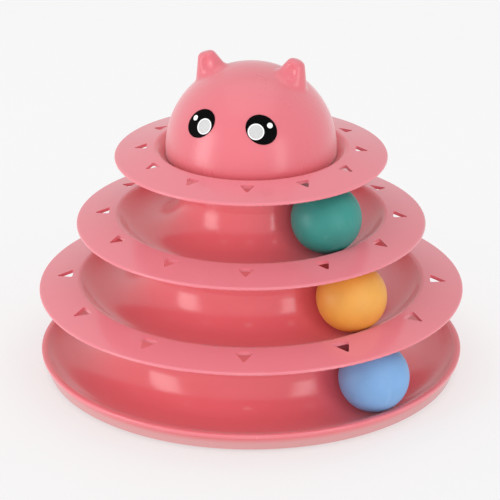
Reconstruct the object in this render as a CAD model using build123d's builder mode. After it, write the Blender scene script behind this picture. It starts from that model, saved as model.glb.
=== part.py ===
"""Three-level ball track tower for cats, with a cat's head on top.

Millimetres, +Z up. The origin is on the ground, on the tower's axis, and the face looks along -Y.
Four round mouldings stack on one axis: the base tray, two tracks and the top brim. Each hub ends in a socket
that is turned inwards, and a keyed spigot under the moulding above plugs into it.
"""

import os
from math import cos, radians, sin, sqrt, tan

from build123d import *

os.makedirs("parts", exist_ok=True)

# Balls and the groove that they roll in
BALL_DIAMETER = 40.0
BALL_WALL = 1.6
SEAM_TONGUE = 1.2
SEAM_GAP = 0.15
ROLL_GAP = 0.3
HUB_GAP = 1.5
SLOPE_GAP = 0.6
BALLS = {"blue": 57.2, "yellow": 59.2, "teal": 60.6}

# Mouldings
WALL = 2.0
TOP_TRACK_RADIUS = 61.2
TIER_STEP = 22.7
TIER_ALLOWANCE = 0.3
SLOPE_ANGLE = 42.0
SLOPE_RUN = 3.0
FLOOR_BLEND = 16.0
CREST_ROUND = 3.0
BRIM_REACH = 40.1
BRIM_FALL = 11.5
EDGE_ROUND = 0.9
HUB_DRAFT = 2.0
HUB_EDGE_ROUND = 2.6

# Base tray
PAD_COUNT = 6
PAD_DIAMETER = 10.0
PAD_THICKNESS = 1.2
FOOT_DIAMETER = 12.0
FOOT_HEIGHT = 3.6
LIP_RUN = 0.2
LIP_REACH = 17.3
FOOT_RING_INSET = 3.9

# Triangular windows in the brims
WINDOW_COUNT = 12
WINDOW_START_ANGLE = 15.0
WINDOW_REACH = 24.0
WINDOW_SIDE = 9.0
WINDOW_SIDE_STEP = 1.25
WINDOW_CORNER = 0.8

# Plug joints between the mouldings
SEAT_WIDTH = 9.0
SOCKET_DEPTH = 9.0
SPIGOT_HEIGHT = 10.0
FIT_GAP = 0.3
KEY_COUNT = 3
KEY_WIDTH = 3.0
KEY_REACH = 3.0
KEY_GAP = 0.3

# Head
HEAD_INSET = 5.6
HEAD_RISE = 6.7
HEAD_SEAM = 0.4
EAR_SPREAD = 27.2
EAR_RISE = 54.4
EAR_ROOT_ANGLE = 30.0
EAR_SINK = 6.0
EAR_WIDTH = 24.0
EAR_DEPTH = 18.0
EAR_TIP_WIDTH = 8.6
EAR_TIP_DEPTH = 7.8
EAR_TIP_ROUND = 3.7
EAR_BLEND = 5.0
EAR_WALL = 3.0
EAR_CORE_SHARE = 0.6
EAR_DISH_RADIUS = 7.0
EAR_DISH_DEPTH = 1.2
EAR_DISH_INSET = 1.0
EAR_DISH_SHARE = 0.76
EAR_DISH_ROUND = 1.5
POST_COUNT = 3
POST_CIRCLE = 56.0
POST_DIAMETER = 8.0
PEG_DIAMETER = 4.6
PEG_HEIGHT = 9.0
PEG_GAP = 0.15

# Eye stickers
EYE_TURN = 24.8
EYE_LIFT = 31.0
EYE_LENGTH = 18.4
EYE_WIDTH = 16.2
EYE_TILT = 40.0
EYE_THICKNESS = 0.3
EYE_GLUE = 0.05

# Derived sizes
ball_radius = BALL_DIAMETER / 2
tier_pitch = BALL_DIAMETER + TIER_ALLOWANCE
draft = tan(radians(HUB_DRAFT))
climb = tan(radians(SLOPE_ANGLE))
fall = tan(radians(BRIM_FALL))
OVERRUN = WALL

# Levels count from the base: 0 base tray, 1 lower track, 2 upper track, 3 top brim
levels = range(4)
track_radius = [TOP_TRACK_RADIUS + (2 - level) * TIER_STEP for level in levels]
floor = [PAD_THICKNESS + FOOT_HEIGHT + WALL + level * tier_pitch for level in levels]
seat = [height + tier_pitch - WALL for height in floor]

# The groove's inner side curves up into the hub round the ball, which clears it by HUB_GAP at its own height
hub_root = ball_radius + HUB_GAP
hub_foot = [radius - hub_root * tan(radians(90 - HUB_DRAFT) / 2) for radius in track_radius]
hub_top = [foot - (tier_pitch - WALL) * draft for foot in hub_foot]

# Its outer side slopes up to the crest, and the ball clears the slope by SLOPE_GAP
slope_reach = (
    (ball_radius + SLOPE_GAP) - (ball_radius + ROLL_GAP) * cos(radians(SLOPE_ANGLE))
) / sin(radians(SLOPE_ANGLE))
slope_foot = [radius + slope_reach for radius in track_radius]
blend_reach = FLOOR_BLEND * tan(radians(SLOPE_ANGLE) / 2)
crest_reach = CREST_ROUND * tan(radians(SLOPE_ANGLE + BRIM_FALL) / 2)
slope_length = [blend_reach + run + crest_reach for run in (LIP_RUN, SLOPE_RUN, SLOPE_RUN, SLOPE_RUN)]
crest_height = [length * sin(radians(SLOPE_ANGLE)) for length in slope_length]
crest = [foot + length * cos(radians(SLOPE_ANGLE)) for foot, length in zip(slope_foot, slope_length)]
edge = [radius + reach for radius, reach in zip(track_radius, (LIP_REACH, BRIM_REACH, BRIM_REACH, BRIM_REACH))]

# The socket in one hub takes the spigot of the moulding above
socket_radius = [radius - SEAT_WIDTH for radius in track_radius[1:]]
spigot_radius = [radius - FIT_GAP for radius in socket_radius]

head_radius = crest[3] - HEAD_INSET
head_centre = floor[3] + HEAD_RISE


def hub_corners(level):
    """Corners of a moulding's upper outline from its socket's lip to the foot of its slope."""
    return [
        (socket_radius[level], seat[level] - SOCKET_DEPTH),
        (socket_radius[level], seat[level]),
        (hub_top[level], seat[level]),
        (hub_foot[level], floor[level]),
        (slope_foot[level], floor[level]),
    ]


def brim_corners(level):
    """Corners of a moulding's upper outline at its crest and at its outer edge."""
    crest_top = floor[level] + crest_height[level]
    return [(crest[level], crest_top), (edge[level], crest_top - (edge[level] - crest[level]) * fall)]


def shell_section(corners, rounds):
    """Section of a moulding: its outline thickened inwards by the wall, with a rounded outer edge."""
    with BuildSketch(Plane.XZ) as section:
        with BuildLine():
            FilletPolyline(*corners, radius=rounds)
            offset(amount=WALL, side=Side.RIGHT)
        make_face()
        fillet(section.vertices().sort_by_distance(corners[-1])[:2], radius=EDGE_ROUND)
    return section.sketch


def cut_windows(level):
    """Triangular windows through a brim, each with a corner pointing outwards."""
    side = WINDOW_SIDE + (3 - level) * WINDOW_SIDE_STEP
    with BuildSketch(Plane.XY.offset(floor[level] + crest_height[level] + OVERRUN)) as windows:
        with PolarLocations(track_radius[level] + WINDOW_REACH, WINDOW_COUNT, WINDOW_START_ANGLE):
            RegularPolygon(side / sqrt(3), 3)
        fillet(windows.vertices(), radius=WINDOW_CORNER)
    extrude(windows.sketch, amount=-(crest_height[level] + WALL + 2 * OVERRUN), mode=Mode.SUBTRACT)


def cut_key_slots(level):
    """Slots through a hub's socket for the keys of the moulding above."""
    with BuildSketch(Plane.XY.offset(seat[level] + OVERRUN)) as slots:
        with PolarLocations(socket_radius[level], KEY_COUNT):
            Rectangle(2 * (KEY_REACH + KEY_GAP), KEY_WIDTH + 2 * KEY_GAP)
    extrude(slots.sketch, amount=-(SOCKET_DEPTH + 2 * OVERRUN), mode=Mode.SUBTRACT)


def spigot_section(level):
    """Section of a moulding's spigot, with a flat land that rests on the hub below."""
    outer = spigot_radius[level - 1]
    inner = outer - WALL
    underside = floor[level] - WALL
    with BuildSketch(Plane.XZ) as section:
        with BuildLine():
            Polyline(
                (inner, underside - SPIGOT_HEIGHT),
                (outer, underside - SPIGOT_HEIGHT),
                (outer, underside),
                (track_radius[level], underside),
                (track_radius[level], underside + WALL / 2),
                (inner, wall_middle(level, inner)),
                close=True,
            )
        make_face()
    return section.sketch


def add_keys(level):
    """Ribs on a moulding's spigot that drop into the slots of the hub below."""
    with BuildSketch(Plane.XY.offset(floor[level] - WALL - SPIGOT_HEIGHT)) as ribs:
        with PolarLocations(socket_radius[level - 1] + KEY_REACH, KEY_COUNT):
            Rectangle(KEY_REACH + FIT_GAP + WALL / 2, KEY_WIDTH, align=(Align.MAX, Align.CENTER))
    extrude(ribs.sketch, amount=SPIGOT_HEIGHT + WALL / 2)


def wall_middle(level, radius):
    """Height of the middle of the wall on the groove's inner side; the top brim's floor is flat there."""
    if level == 3:
        return floor[3] - WALL / 2
    reach = track_radius[level] - radius
    return floor[level] + hub_root - sqrt((hub_root + WALL / 2) ** 2 - reach**2)


# Base tray: the lowest groove, with a lip instead of a brim, on a foot ring and six round feet
rounds = [HUB_EDGE_ROUND, HUB_EDGE_ROUND, hub_root, FLOOR_BLEND, CREST_ROUND]
with BuildPart() as base_tray:
    ring_outer = edge[0] - FOOT_RING_INSET
    ring_inner = ring_outer - WALL
    wall_middle_drop = WALL / 2 / cos(radians(SLOPE_ANGLE))
    add(shell_section(hub_corners(0) + brim_corners(0), rounds))
    with BuildSketch(Plane.XZ):
        with BuildLine():
            Polyline(
                (ring_inner, PAD_THICKNESS),
                (ring_outer, PAD_THICKNESS),
                (ring_outer, floor[0] + (ring_outer - slope_foot[0]) * climb - wall_middle_drop),
                (ring_inner, floor[0] + (ring_inner - slope_foot[0]) * climb - wall_middle_drop),
                close=True,
            )
        make_face()
    revolve(axis=Axis.Z)
    cut_key_slots(0)
    with BuildSketch(Plane.XY.offset(PAD_THICKNESS)):
        with PolarLocations(track_radius[0], PAD_COUNT):
            Circle(FOOT_DIAMETER / 2)
    extrude(amount=FOOT_HEIGHT + WALL / 2)
base_tray.part.label = "base_tray"
export_step(base_tray.part, "parts/base_tray.step")

# Rubber pads under the feet
for number in range(1, PAD_COUNT + 1):
    with BuildPart() as foot_pad:
        with BuildSketch():
            with PolarLocations(track_radius[0], 1, number * 360 / PAD_COUNT):
                Circle(PAD_DIAMETER / 2)
        extrude(amount=PAD_THICKNESS)
    foot_pad.part.label = f"foot_pad_{number}"
    export_step(foot_pad.part, f"parts/foot_pad_{number}.step")

# The two tracks that plug in above the base
for level, name in ((1, "lower_track"), (2, "upper_track")):
    with BuildPart() as track:
        add(shell_section(hub_corners(level) + brim_corners(level), rounds))
        add(spigot_section(level))
        revolve(axis=Axis.Z)
        cut_key_slots(level)
        cut_windows(level)
        add_keys(level)
    track.part.label = name
    export_step(track.part, f"parts/{name}.step")

# Top brim: a dish with a flat floor that carries three pegs for the head
with BuildPart() as top_brim:
    dish_corners = [(0, floor[3]), (slope_foot[3], floor[3])]
    add(shell_section(dish_corners + brim_corners(3), [FLOOR_BLEND, CREST_ROUND]))
    add(spigot_section(3))
    revolve(axis=Axis.Z)
    cut_windows(3)
    add_keys(3)
    with BuildSketch(Plane.XY.offset(floor[3] - WALL / 2)):
        with PolarLocations(POST_CIRCLE / 2, POST_COUNT):
            Circle(PEG_DIAMETER / 2)
    extrude(amount=WALL / 2 + PEG_HEIGHT)
top_brim.part.label = "top_brim"
export_step(top_brim.part, "parts/top_brim.step")


def dish_height(radius):
    """Height of the dish where its floor curves up into its slope."""
    reach = radius - (slope_foot[3] - blend_reach)
    return floor[3] + FLOOR_BLEND - sqrt(FLOOR_BLEND**2 - reach**2)


def ear_plane(side, share):
    """Plane across an ear's axis, at a share of the way from its root to its tip."""
    sunk_radius = head_radius - EAR_SINK
    root = Vector(sunk_radius * sin(radians(EAR_ROOT_ANGLE)), 0, sunk_radius * cos(radians(EAR_ROOT_ANGLE)))
    axis = Vector(EAR_SPREAD, 0, EAR_RISE) - root
    place = root + axis * share
    origin = (side * place.X, 0, head_centre + place.Z)
    return Plane(origin=origin, x_dir=(0, 1, 0), z_dir=(side * axis.X, 0, axis.Z))


def ear_size(share, inset):
    """Half depth and half width of an ear at a share of its length, less an inset."""
    depth = EAR_DEPTH + (EAR_TIP_DEPTH - EAR_DEPTH) * share
    width = EAR_WIDTH + (EAR_TIP_WIDTH - EAR_WIDTH) * share
    return depth / 2 - inset, width / 2 - inset


def ear_cone(side, inset, top_share):
    """Tapered oval from an ear's root up to a share of its length."""
    with BuildPart() as cone:
        for share in (0, top_share):
            with BuildSketch(ear_plane(side, share)):
                Ellipse(*ear_size(share, inset))
        loft()
    return cone.part


# Hollow of the head and of its ears, around the posts that stand on the pegs
with BuildPart() as head_hollow:
    with BuildSketch(Plane.XZ):
        with BuildLine():
            Line((0, floor[3]), (head_radius - WALL, floor[3]))
            Line((head_radius - WALL, floor[3]), (head_radius - WALL, head_centre))
            RadiusArc(
                (head_radius - WALL, head_centre),
                (0, head_centre + head_radius - WALL),
                -(head_radius - WALL),
            )
            Line((0, head_centre + head_radius - WALL), (0, floor[3]))
        make_face()
    revolve(axis=Axis.Z)
    for side in (-1, 1):
        add(ear_cone(side, EAR_WALL, EAR_CORE_SHARE))
    with BuildSketch(Plane.XY.offset(floor[3])):
        with PolarLocations(POST_CIRCLE / 2, POST_COUNT):
            Circle(POST_DIAMETER / 2)
    extrude(amount=head_radius + head_centre - floor[3], mode=Mode.SUBTRACT)

# Cat's head: a dome with two ears, whose rim follows the slope of the dish
rim_inner = dish_height(head_radius - WALL) + HEAD_SEAM
rim_outer = dish_height(head_radius) + HEAD_SEAM
with BuildPart() as cat_head:
    with BuildSketch(Plane.XZ):
        with BuildLine():
            Line((0, rim_inner), (head_radius - WALL, rim_inner))
            Line((head_radius - WALL, rim_inner), (head_radius, rim_outer))
            Line((head_radius, rim_outer), (head_radius, head_centre))
            RadiusArc((head_radius, head_centre), (0, head_centre + head_radius), -head_radius)
            Line((0, head_centre + head_radius), (0, rim_inner))
        make_face()
    revolve(axis=Axis.Z)
    for side in (-1, 1):
        add(ear_cone(side, 0, 1))
        fillet(cat_head.edges(Select.NEW), radius=EAR_BLEND)
    fillet(cat_head.faces().sort_by(Axis.Z)[-2:].edges(), radius=EAR_TIP_ROUND)
    for side in (-1, 1):
        dish_forward = ear_size(EAR_DISH_SHARE, 0)[0] - EAR_DISH_DEPTH + EAR_DISH_RADIUS
        dish_shift = Vector(-side * EAR_DISH_INSET, -dish_forward, 0)
        with Locations(ear_plane(side, EAR_DISH_SHARE).origin + dish_shift):
            Sphere(EAR_DISH_RADIUS, mode=Mode.SUBTRACT)
        fillet(cat_head.edges(Select.NEW), radius=EAR_DISH_ROUND)
    with BuildSketch(Plane.XY.offset(floor[3])):
        with PolarLocations(POST_CIRCLE / 2, POST_COUNT):
            Circle(POST_DIAMETER / 2)
    extrude(amount=head_centre - floor[3])
    add(head_hollow.part, mode=Mode.SUBTRACT)
    with BuildSketch(Plane.XY.offset(floor[3])):
        with PolarLocations(POST_CIRCLE / 2, POST_COUNT):
            Circle(PEG_DIAMETER / 2 + PEG_GAP)
    extrude(amount=PEG_HEIGHT + PEG_GAP, mode=Mode.SUBTRACT)
cat_head.part.label = "cat_head"
export_step(cat_head.part, "parts/cat_head.step")

# Eye stickers: thin ovals that follow the dome, their inner ends tilted up
for side, name in ((-1, "eye_left"), (1, "eye_right")):
    turn = radians(side * EYE_TURN)
    lift = radians(EYE_LIFT)
    gaze = Vector(sin(turn) * cos(lift), -cos(turn) * cos(lift), sin(lift))
    across = Vector(cos(turn), sin(turn), 0)
    with BuildPart() as eye:
        with BuildSketch(Plane(origin=(0, 0, head_centre), x_dir=across, z_dir=gaze)):
            Ellipse(EYE_LENGTH / 2, EYE_WIDTH / 2, rotation=-side * EYE_TILT)
        extrude(amount=head_radius + OVERRUN)
        with Locations((0, 0, head_centre)):
            Sphere(head_radius + EYE_GLUE + EYE_THICKNESS, mode=Mode.INTERSECT)
            Sphere(head_radius + EYE_GLUE, mode=Mode.SUBTRACT)
    eye.part.label = name
    export_step(eye.part, f"parts/{name}.step")

# Balls: two half shells each, the top one with a tongue in the bottom one's rebate
inner_radius = ball_radius - BALL_WALL
tongue_radius = ball_radius - BALL_WALL / 2
for level, (colour, turn) in enumerate(BALLS.items()):
    centre = (
        track_radius[level] * sin(radians(turn)),
        -track_radius[level] * cos(radians(turn)),
        floor[level] + ROLL_GAP + ball_radius,
    )
    ball_section = Plane(origin=centre, x_dir=(1, 0, 0), z_dir=(0, -1, 0))
    for half in ("top", "bottom"):
        with BuildPart() as shell:
            with BuildSketch(ball_section):
                Circle(ball_radius)
                Circle(inner_radius, mode=Mode.SUBTRACT)
                Rectangle(ball_radius, BALL_DIAMETER, align=(Align.MIN, Align.CENTER), mode=Mode.INTERSECT)
            revolve(axis=Axis(centre, (0, 0, 1)))
            keep = Keep.TOP if half == "top" else Keep.BOTTOM
            split(bisect_by=Plane(centre), keep=keep)
            if half == "top":
                with BuildSketch(Plane(centre)):
                    Circle(tongue_radius)
                    Circle(inner_radius, mode=Mode.SUBTRACT)
                extrude(amount=-SEAM_TONGUE)
            else:
                with BuildSketch(Plane(centre)):
                    Circle(tongue_radius + SEAM_GAP)
                extrude(amount=-(SEAM_TONGUE + SEAM_GAP), mode=Mode.SUBTRACT)
        shell.part.label = f"ball_{colour}_{half}"
        export_step(shell.part, f"parts/ball_{colour}_{half}.step")
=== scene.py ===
"""Looks of the cat ball track tower: plastics, printed eyes, studio light and the photograph's camera.

Metres, +Z up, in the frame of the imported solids. Every shown piece is one of those solids.
"""

from math import cos, pi, radians, sin

import bpy
from mathutils import Euler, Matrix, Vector


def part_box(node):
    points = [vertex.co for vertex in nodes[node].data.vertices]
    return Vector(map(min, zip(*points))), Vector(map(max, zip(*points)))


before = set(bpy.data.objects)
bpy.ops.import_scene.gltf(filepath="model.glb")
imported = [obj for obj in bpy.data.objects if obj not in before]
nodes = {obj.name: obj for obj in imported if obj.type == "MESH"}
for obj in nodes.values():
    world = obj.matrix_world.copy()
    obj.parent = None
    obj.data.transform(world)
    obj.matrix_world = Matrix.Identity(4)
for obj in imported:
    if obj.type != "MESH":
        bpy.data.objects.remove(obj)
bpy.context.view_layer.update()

# Photograph's camera: turned from the tower's front, this far from its axis and this high above the ground
CAMERA_TURN = 17.0
CAMERA_DISTANCE = 1.343
CAMERA_HEIGHT = 0.6393
CAMERA_PITCH = 22.99
CAMERA_YAW = 0.0275
CAMERA_LENS = 180.0
CAMERA_SENSOR = 36.0

# Colours, in linear light
PINK = (0.77, 0.140, 0.165)
PINK_DEEP = (0.73, 0.122, 0.145)
# Painted light: the pale tone of brims lit from overhead
PINK_BRIM_PAINTED_LIGHT = (0.75, 0.185, 0.230)
# Painted light and shade: the pale lit tone for the whole head, a little darker against the stronger light
# on the dome
PINK_HEAD_PAINTED_LIGHT = (0.70, 0.155, 0.192)
PINK_RUBBED = (0.79, 0.27, 0.31)
# Painted reflection of the pale table on the base's foot ring
PINK_TABLE_REFLECTION = (0.60, 0.33, 0.33)
BLUE = (0.19, 0.38, 0.68)
YELLOW = (0.80, 0.37, 0.062)
TEAL = (0.026, 0.26, 0.225)
RUBBER = (0.30, 0.30, 0.31)
EYE_BLACK = (0.0015, 0.0012, 0.0015)
EYE_GREY = (0.57, 0.57, 0.57)
EYE_WHITE = (0.93, 0.93, 0.93)
FLOOR_WHITE = (0.42, 0.42, 0.422)
LAMP_WHITE = (1.0, 1.0, 1.0, 1.0)

# Pieces that share a kind of plastic: the mouldings from the ground up, and the balls
MOULDINGS = ("base_tray", "lower_track", "upper_track", "top_brim")
BALLS = {"blue": BLUE, "yellow": YELLOW, "teal": TEAL}

# Values of a noise that are told apart: most of them, or only those near the middle
MOST = (0.3, 0.7)
MIDDLE = (0.4, 0.6)

# Pink plastic's marks: flow marks, fine grain, smears from hands and orange peel, in lumps per metre
FLOW_MARKS = {"scale": 14.0, "detail": 3.0, "stretch": (1.0, 1.0, 2.5)}
FLOW_LIMITS = (0.32, 0.68)
FINE_GRAIN = {"scale": 1400.0, "detail": 2.0}
FINE_GRAIN_SHARES = (0.45, 0.55)
FINE_GRAIN_DEPTH = 0.000004
SMEARS = {"scale": 45.0, "detail": 4.0, "stretch": (1.0, 1.0, 0.35)}
SMEAR_LIMITS = (0.3, 0.75)
SMEAR_ROUGH = 0.10
ORANGE_PEEL = {"scale": 260.0, "detail": 1.0}
ORANGE_PEEL_DEPTH = 0.000035
PINK_SHIFT = (0.37, 0.61, 0.23)

# Pink plastic's shine, and the dust on it
PINK_SPECULAR = 0.55
TRACK_ROUGH = 0.13
HEAD_ROUGH = 0.24
TRACK_DUST = 0.22
HEAD_DUST = 0.40
DUST_ROUGH = 0.5

# Brims: their width, and the paler tone past the crest, painted light where the brims face the light
# overhead
BRIM_WIDTH = 0.0239
CREST_FADE = 0.002
PAINTED_LIGHT_SHARE = 0.9

# Rubbed rims: where the rubbing starts and is full, inside the rim
RUB_START = 0.0022
RUB_FULL = 0.0004
RUB_SHARE = 0.35
RUB_LIMITS = (0.35, 0.65)
RUB_PATCHES = (0.4, 1.0)
RUB_ROUGH = 0.16

# Foot ring painted paler and greyer, a painted reflection of the pale table: heights where it ends and is
# full, and the ring's distance from the axis
FOOT_REFLECTION_TOP = 0.0085
FOOT_REFLECTION_FULL = 0.0045
FOOT_REFLECTION_SHARE = 0.85
FOOT_RING_INSIDE = 0.1170
FOOT_RING_OUTSIDE = 0.1185

# Balls: satin plastic with clouds, a matte grain and scuffs
BALL_CLOUDS = {"scale": 60.0, "detail": 2.0}
BALL_DARKER = 0.88
BALL_GRAIN = {"scale": 2200.0, "detail": 2.0}
BALL_GRAIN_DEPTH = 0.000012
BALL_SCUFFS = {"scale": 120.0, "detail": 5.0, "stretch": (1.0, 3.0, 0.5)}
BALL_SCUFF_LIMITS = (0.60, 0.78)
BALL_SCUFF_SHARES = (0.0, 0.35)
BALL_SCUFF_PALER = 0.10
BALL_ROUGH_LIMITS = (0.35, 0.70)
BALL_ROUGH = (0.42, 0.58)
BALL_SHIFT = (0.53, 0.29, 0.71)

# Pads: clouded rubber with a pebbled skin
RUBBER_CLOUDS = {"scale": 90.0, "detail": 3.0}
RUBBER_PALER = 1.35
RUBBER_ROUGH = (0.72, 0.88)
RUBBER_PEBBLES = {"scale": 1500.0, "detail": 2.0}
RUBBER_PEBBLE_DEPTH = 0.00003

# Head: the dome's centre and radius
DOME_CENTRE = Vector((0.0, 0.0, 0.1344))
DOME_RADIUS = 0.0491

# Eyes: places on the dome of the glint and the spark, and the print's ink and film
GLINT_TURN = 20.6
GLINT_LIFT = 29.6
GLINT_RADIUS = 0.0046
GLINT_RIM = 0.0006
SPARK_TURN = 31.6
SPARK_LIFT = 33.2
SPARK_RADIUS = 0.0016
PRINT_EDGE = 0.00008
EYE_INK = {"scale": 900.0, "detail": 2.0}
EYE_BLACK_PALER = 1.8
EYE_GREY_PALER = 1.06
EYE_FILM = {"scale": 160.0, "detail": 2.0}
EYE_FILM_DEPTH = 0.00001
EYE_ROUGH = (0.28, 0.38)
EYE_SPECULAR = 0.04

# Table under the tower, and the pale tent round it
FLOOR_SIZE = 8.0
FLOOR_MOTTLE = {"scale": 3.0, "detail": 2.0}
FLOOR_DARKER = 0.985
FLOOR_ROUGH = 0.9
FLOOR_GLOW = 0.55
TENT_LIGHT = 0.74

# Colour sockets of a Mix node
MIX_FIRST = 6
MIX_SECOND = 7
MIX_RESULT = 2


class Shader:
    """A material's node tree, with short calls for its nodes and links."""

    def __init__(self, name):
        self.material = bpy.data.materials.new(name)
        self.material.use_nodes = True
        self.tree = self.material.node_tree
        self.surface = self.tree.nodes["Principled BSDF"]
        self.place = self.tree.nodes.new("ShaderNodeTexCoord").outputs["Object"]

    def link(self, source, target):
        """Link from one socket to another."""
        self.tree.links.new(source, target)

    def set(self, socket, value):
        """Constant on one of the surface's sockets."""
        self.surface.inputs[socket].default_value = value

    def noise(self, scale, detail, stretch=(1.0, 1.0, 1.0), shift=(0.0, 0.0, 0.0)):
        """Noise in the object's own space, this many lumps per metre."""
        mapping = self.tree.nodes.new("ShaderNodeMapping")
        mapping.inputs["Location"].default_value = shift
        mapping.inputs["Scale"].default_value = stretch
        self.link(self.place, mapping.inputs["Vector"])
        noise = self.tree.nodes.new("ShaderNodeTexNoise")
        noise.inputs["Scale"].default_value = scale
        noise.inputs["Detail"].default_value = detail
        self.link(mapping.outputs["Vector"], noise.inputs["Vector"])
        return noise.outputs["Fac"]

    def spread(self, value, limits, results=(0.0, 1.0)):
        """Value between two limits, spread over a range of results and held inside it."""
        node = self.tree.nodes.new("ShaderNodeMapRange")
        sockets = ("From Min", "From Max", "To Min", "To Max")
        for socket, number in zip(sockets, (*limits, *results)):
            node.inputs[socket].default_value = number
        self.link(value, node.inputs["Value"])
        return node.outputs["Result"]

    def inside(self, distance, radius):
        """Share of one inside a radius and none outside it, with a printed edge."""
        return self.spread(distance, (radius + PRINT_EDGE, radius - PRINT_EDGE))

    def math(self, operation, first, second):
        """Sum or product of two values, each a socket or a number."""
        node = self.tree.nodes.new("ShaderNodeMath")
        node.operation = operation
        for socket, value in zip(node.inputs, (first, second)):
            if isinstance(value, float):
                socket.default_value = value
            else:
                self.link(value, socket)
        return node.outputs["Value"]

    def distance(self, point):
        """Distance of each place on the surface from a point."""
        node = self.tree.nodes.new("ShaderNodeVectorMath")
        node.operation = "DISTANCE"
        self.link(self.place, node.inputs[0])
        node.inputs[1].default_value = point
        return node.outputs["Value"]

    def axis_distance(self):
        """Distance of each place on the surface from the tower's axis."""
        flat = self.tree.nodes.new("ShaderNodeVectorMath")
        flat.operation = "MULTIPLY"
        self.link(self.place, flat.inputs[0])
        flat.inputs[1].default_value = (1.0, 1.0, 0.0)
        length = self.tree.nodes.new("ShaderNodeVectorMath")
        length.operation = "LENGTH"
        self.link(flat.outputs["Vector"], length.inputs[0])
        return length.outputs["Value"]

    def height(self):
        """Height of each place on the surface above the ground."""
        split = self.tree.nodes.new("ShaderNodeSeparateXYZ")
        self.link(self.place, split.inputs["Vector"])
        return split.outputs["Z"]

    def mix(self, share, first, second):
        """Colour between two, by a share."""
        node = self.tree.nodes.new("ShaderNodeMix")
        node.data_type = "RGBA"
        self.link(share, node.inputs["Factor"])
        for socket, colour in ((node.inputs[MIX_FIRST], first), (node.inputs[MIX_SECOND], second)):
            if isinstance(colour, tuple):
                socket.default_value = (*colour, 1.0)
            else:
                self.link(colour, socket)
        return node.outputs[MIX_RESULT]

    def bump(self, height, depth, below=None):
        """Bump of this depth in metres, on top of another."""
        node = self.tree.nodes.new("ShaderNodeBump")
        node.inputs["Distance"].default_value = depth
        self.link(height, node.inputs["Height"])
        if below is not None:
            self.link(below, node.inputs["Normal"])
        return node.outputs["Normal"]

    def finish(self, colour, roughness, normal):
        """The material, with its colour, roughness and skin linked."""
        self.link(colour, self.surface.inputs["Base Color"])
        self.link(roughness, self.surface.inputs["Roughness"])
        self.link(normal, self.surface.inputs["Normal"])
        return self.material


def scaled(colour, factor):
    """Colour made paler or darker by a factor."""
    return tuple(factor * part for part in colour)


def pink_plastic(name, seed, crest, rim, painted_light_tone, dust, gloss):
    """Moulded plastic with its marks, a paler painted light tone past the crest, a rubbed rim and a
    painted reflection of the pale table on the foot ring.
    """
    shader = Shader(name)
    shift = scaled(PINK_SHIFT, seed)
    flow = shader.noise(**FLOW_MARKS, shift=shift)
    grain = shader.noise(**FINE_GRAIN, shift=shift)
    smear = shader.noise(**SMEARS, shift=shift)
    peel = shader.noise(**ORANGE_PEEL, shift=shift)
    radius = shader.axis_distance()

    tone = shader.mix(shader.spread(flow, FLOW_LIMITS), PINK_DEEP, PINK)
    tone = shader.mix(shader.spread(grain, MIDDLE, FINE_GRAIN_SHARES), tone, PINK)
    # Painted light: paler past the crest, where the brims face the light overhead
    painted_light = shader.spread(radius, (crest - CREST_FADE, crest + CREST_FADE), (0.0, PAINTED_LIGHT_SHARE))
    tone = shader.mix(painted_light, tone, painted_light_tone)
    worn = shader.spread(radius, (rim - RUB_START, rim - RUB_FULL), (0.0, RUB_SHARE))
    worn = shader.math("MULTIPLY", worn, shader.spread(smear, RUB_LIMITS, RUB_PATCHES))
    tone = shader.mix(worn, tone, PINK_RUBBED)
    # Painted reflection of the pale table, paler near the ground on the foot ring
    table_reflection = shader.spread(shader.height(), (FOOT_REFLECTION_TOP, FOOT_REFLECTION_FULL), (0.0, FOOT_REFLECTION_SHARE))
    on_ring = shader.spread(radius, (FOOT_RING_INSIDE, FOOT_RING_OUTSIDE))
    tone = shader.mix(shader.math("MULTIPLY", table_reflection, on_ring), tone, PINK_TABLE_REFLECTION)

    rough = shader.spread(smear, SMEAR_LIMITS, (gloss, gloss + SMEAR_ROUGH))
    rough = shader.math("ADD", rough, shader.math("MULTIPLY", worn, RUB_ROUGH))
    normal = shader.bump(grain, FINE_GRAIN_DEPTH)
    normal = shader.bump(peel, ORANGE_PEEL_DEPTH, normal)
    shader.set("Specular IOR Level", PINK_SPECULAR)
    shader.set("Sheen Weight", dust)
    shader.set("Sheen Roughness", DUST_ROUGH)
    return shader.finish(tone, rough, normal)


def ball_plastic(name, colour, seed):
    """Satin moulded plastic with a fine matte grain and scuffs from rolling."""
    shader = Shader(name)
    shift = scaled(BALL_SHIFT, seed)
    cloud = shader.noise(**BALL_CLOUDS, shift=shift)
    grain = shader.noise(**BALL_GRAIN, shift=shift)
    scuff = shader.noise(**BALL_SCUFFS, shift=shift)
    paler = tuple(part + BALL_SCUFF_PALER * (1.0 - part) for part in colour)
    tone = shader.mix(shader.spread(cloud, MOST), scaled(colour, BALL_DARKER), colour)
    tone = shader.mix(shader.spread(scuff, BALL_SCUFF_LIMITS, BALL_SCUFF_SHARES), tone, paler)
    rough = shader.spread(scuff, BALL_ROUGH_LIMITS, BALL_ROUGH)
    return shader.finish(tone, rough, shader.bump(grain, BALL_GRAIN_DEPTH))


def pad_rubber(name):
    """Matte grey rubber with a pebbled skin."""
    shader = Shader(name)
    cloud = shader.noise(**RUBBER_CLOUDS)
    pebble = shader.noise(**RUBBER_PEBBLES)
    tone = shader.mix(shader.spread(cloud, MOST), RUBBER, scaled(RUBBER, RUBBER_PALER))
    rough = shader.spread(cloud, MOST, RUBBER_ROUGH)
    return shader.finish(tone, rough, shader.bump(pebble, RUBBER_PEBBLE_DEPTH))


def on_dome(turn, lift):
    """Point on the dome, turned from the front and lifted above its equator."""
    turn = radians(turn)
    lift = radians(lift)
    return DOME_CENTRE + DOME_RADIUS * Vector((sin(turn) * cos(lift), -cos(turn) * cos(lift), sin(lift)))


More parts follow.
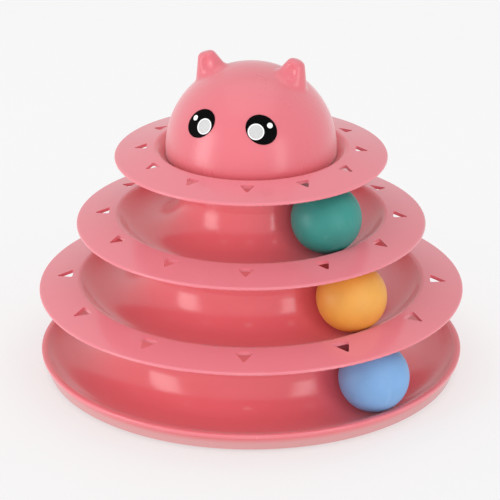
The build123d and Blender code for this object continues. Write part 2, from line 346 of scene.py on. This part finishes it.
def eye_print(name, side):
    """Black printed sticker with a large grey glint, ringed in white, and a small white spark."""
    shader = Shader(name)
    ink = shader.noise(**EYE_INK)
    film = shader.noise(**EYE_FILM)
    glint = shader.distance(on_dome(side * GLINT_TURN, GLINT_LIFT))
    spark = shader.distance(on_dome(side * SPARK_TURN, SPARK_LIFT))
    black = shader.mix(shader.spread(ink, MIDDLE), EYE_BLACK, scaled(EYE_BLACK, EYE_BLACK_PALER))
    grey = shader.mix(shader.spread(ink, MIDDLE), EYE_GREY, scaled(EYE_GREY, EYE_GREY_PALER))
    tone = shader.mix(shader.inside(glint, GLINT_RADIUS), black, EYE_WHITE)
    tone = shader.mix(shader.inside(glint, GLINT_RADIUS - GLINT_RIM), tone, grey)
    tone = shader.mix(shader.inside(spark, SPARK_RADIUS), tone, EYE_WHITE)
    rough = shader.spread(film, MOST, EYE_ROUGH)
    shader.set("Specular IOR Level", EYE_SPECULAR)
    return shader.finish(tone, rough, shader.bump(film, EYE_FILM_DEPTH))


def dress(node, material):
    """Gives a solid its material."""
    mesh = nodes[node].data
    mesh.materials.clear()
    mesh.materials.append(material)


# Mouldings: the base tray ends at its lip, and the others have a brim past the crest that is painted paler
# as if lit
for seed, node in enumerate(MOULDINGS, start=1):
    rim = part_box(node)[1].x
    crest = rim if node == "base_tray" else rim - BRIM_WIDTH
    dress(node, pink_plastic(f"pink_{node}", seed, crest, rim, PINK_BRIM_PAINTED_LIGHT, TRACK_DUST, TRACK_ROUGH))

# Head: the pale painted light tone covers it all over, made a little darker as painted shade against the
# stronger light on the dome, and no rim that rubs
head_seed = len(MOULDINGS) + 1
head_crest = -DOME_RADIUS
head_rim = 2 * DOME_RADIUS
plastic = pink_plastic("pink_cat_head", head_seed, head_crest, head_rim, PINK_HEAD_PAINTED_LIGHT, HEAD_DUST, HEAD_ROUGH)
dress("cat_head", plastic)

# Balls, eyes and pads
for seed, (colour_name, colour) in enumerate(BALLS.items(), start=1):
    plastic = ball_plastic(f"ball_{colour_name}", colour, seed)
    for half in ("top", "bottom"):
        dress(f"ball_{colour_name}_{half}", plastic)
dress("eye_left", eye_print("eye_print_left", -1))
dress("eye_right", eye_print("eye_print_right", 1))
rubber = pad_rubber("pad_rubber")
for node in nodes:
    if node.startswith("foot_pad_"):
        dress(node, rubber)

# Floor: a pale table under the tower, lit from below as well
bpy.ops.mesh.primitive_plane_add(size=FLOOR_SIZE)
floor = bpy.context.object
floor.name = "studio_floor"
floor_shader = Shader("studio_floor")
mottle = floor_shader.spread(floor_shader.noise(**FLOOR_MOTTLE), MOST)
floor_tone = floor_shader.mix(mottle, FLOOR_WHITE, scaled(FLOOR_WHITE, FLOOR_DARKER))
floor_shader.link(floor_tone, floor_shader.surface.inputs["Base Color"])
floor_shader.set("Roughness", FLOOR_ROUGH)
floor_shader.set("Emission Color", LAMP_WHITE)
floor_shader.set("Emission Strength", FLOOR_GLOW)
floor.data.materials.append(floor_shader.material)

# The lamps in front leave the table alone, so that it stays evenly pale from every side
tower_only = bpy.data.collections.new("tower_only")
tower_only.objects.link(floor)
tower_only.collection_objects[0].light_linking.link_state = "EXCLUDE"

# Light: a pale tent, a wide softbox overhead, two tall ones in front and a wide fill behind the camera
world = bpy.data.worlds.new("studio_tent")
world.use_nodes = True
background = world.node_tree.nodes["Background"]
background.inputs["Color"].default_value = LAMP_WHITE
background.inputs["Strength"].default_value = TENT_LIGHT
bpy.context.scene.world = world


def softbox(name, turn, distance, height, width, length, brightness, aim_height, receivers):
    """Rectangular light, turned from the camera's side of the tower and aimed at a height on its axis."""
    light = bpy.data.lights.new(name, "AREA")
    light.shape = "RECTANGLE"
    light.size = width
    light.size_y = length
    light.energy = brightness * pi * width * length
    lamp = bpy.data.objects.new(name, light)
    bpy.context.collection.objects.link(lamp)
    angle = radians(CAMERA_TURN + turn)
    lamp.location = (distance * sin(angle), -distance * cos(angle), height)
    aim = Vector((0.0, 0.0, aim_height)) - lamp.location
    lamp.rotation_euler = aim.to_track_quat("-Z", "Y").to_euler()
    lamp.visible_camera = False
    lamp.light_linking.receiver_collection = receivers
    return lamp


softbox(
    "softbox_left",
    turn=-64.0,
    distance=0.62,
    height=0.22,
    width=0.25,
    length=0.44,
    brightness=3.6,
    aim_height=0.22,
    receivers=tower_only,
)
softbox(
    "softbox_right",
    turn=38.0,
    distance=0.62,
    height=0.22,
    width=0.16,
    length=0.44,
    brightness=3.0,
    aim_height=0.22,
    receivers=tower_only,
)
softbox(
    "softbox_top",
    turn=0.0,
    distance=0.05,
    height=1.5,
    width=1.4,
    length=1.4,
    brightness=0.75,
    aim_height=0.0,
    receivers=None,
)
fill = softbox(
    "fill_front",
    turn=0.0,
    distance=3.0,
    height=0.80,
    width=2.2,
    length=1.5,
    brightness=1.6,
    aim_height=0.10,
    receivers=tower_only,
)
fill.visible_glossy = False

# Camera, at the photograph's angle
camera_data = bpy.data.cameras.new("camera")
camera_data.lens = CAMERA_LENS
camera_data.sensor_width = CAMERA_SENSOR
camera = bpy.data.objects.new("camera", camera_data)
bpy.context.collection.objects.link(camera)
turn = radians(CAMERA_TURN)
camera.location = (CAMERA_DISTANCE * sin(turn), -CAMERA_DISTANCE * cos(turn), CAMERA_HEIGHT)
camera.rotation_euler = Euler((pi / 2 - radians(CAMERA_PITCH), 0.0, turn + radians(CAMERA_YAW)), "XYZ")
bpy.context.scene.camera = camera
bpy.context.scene.view_settings.view_transform = "Standard"
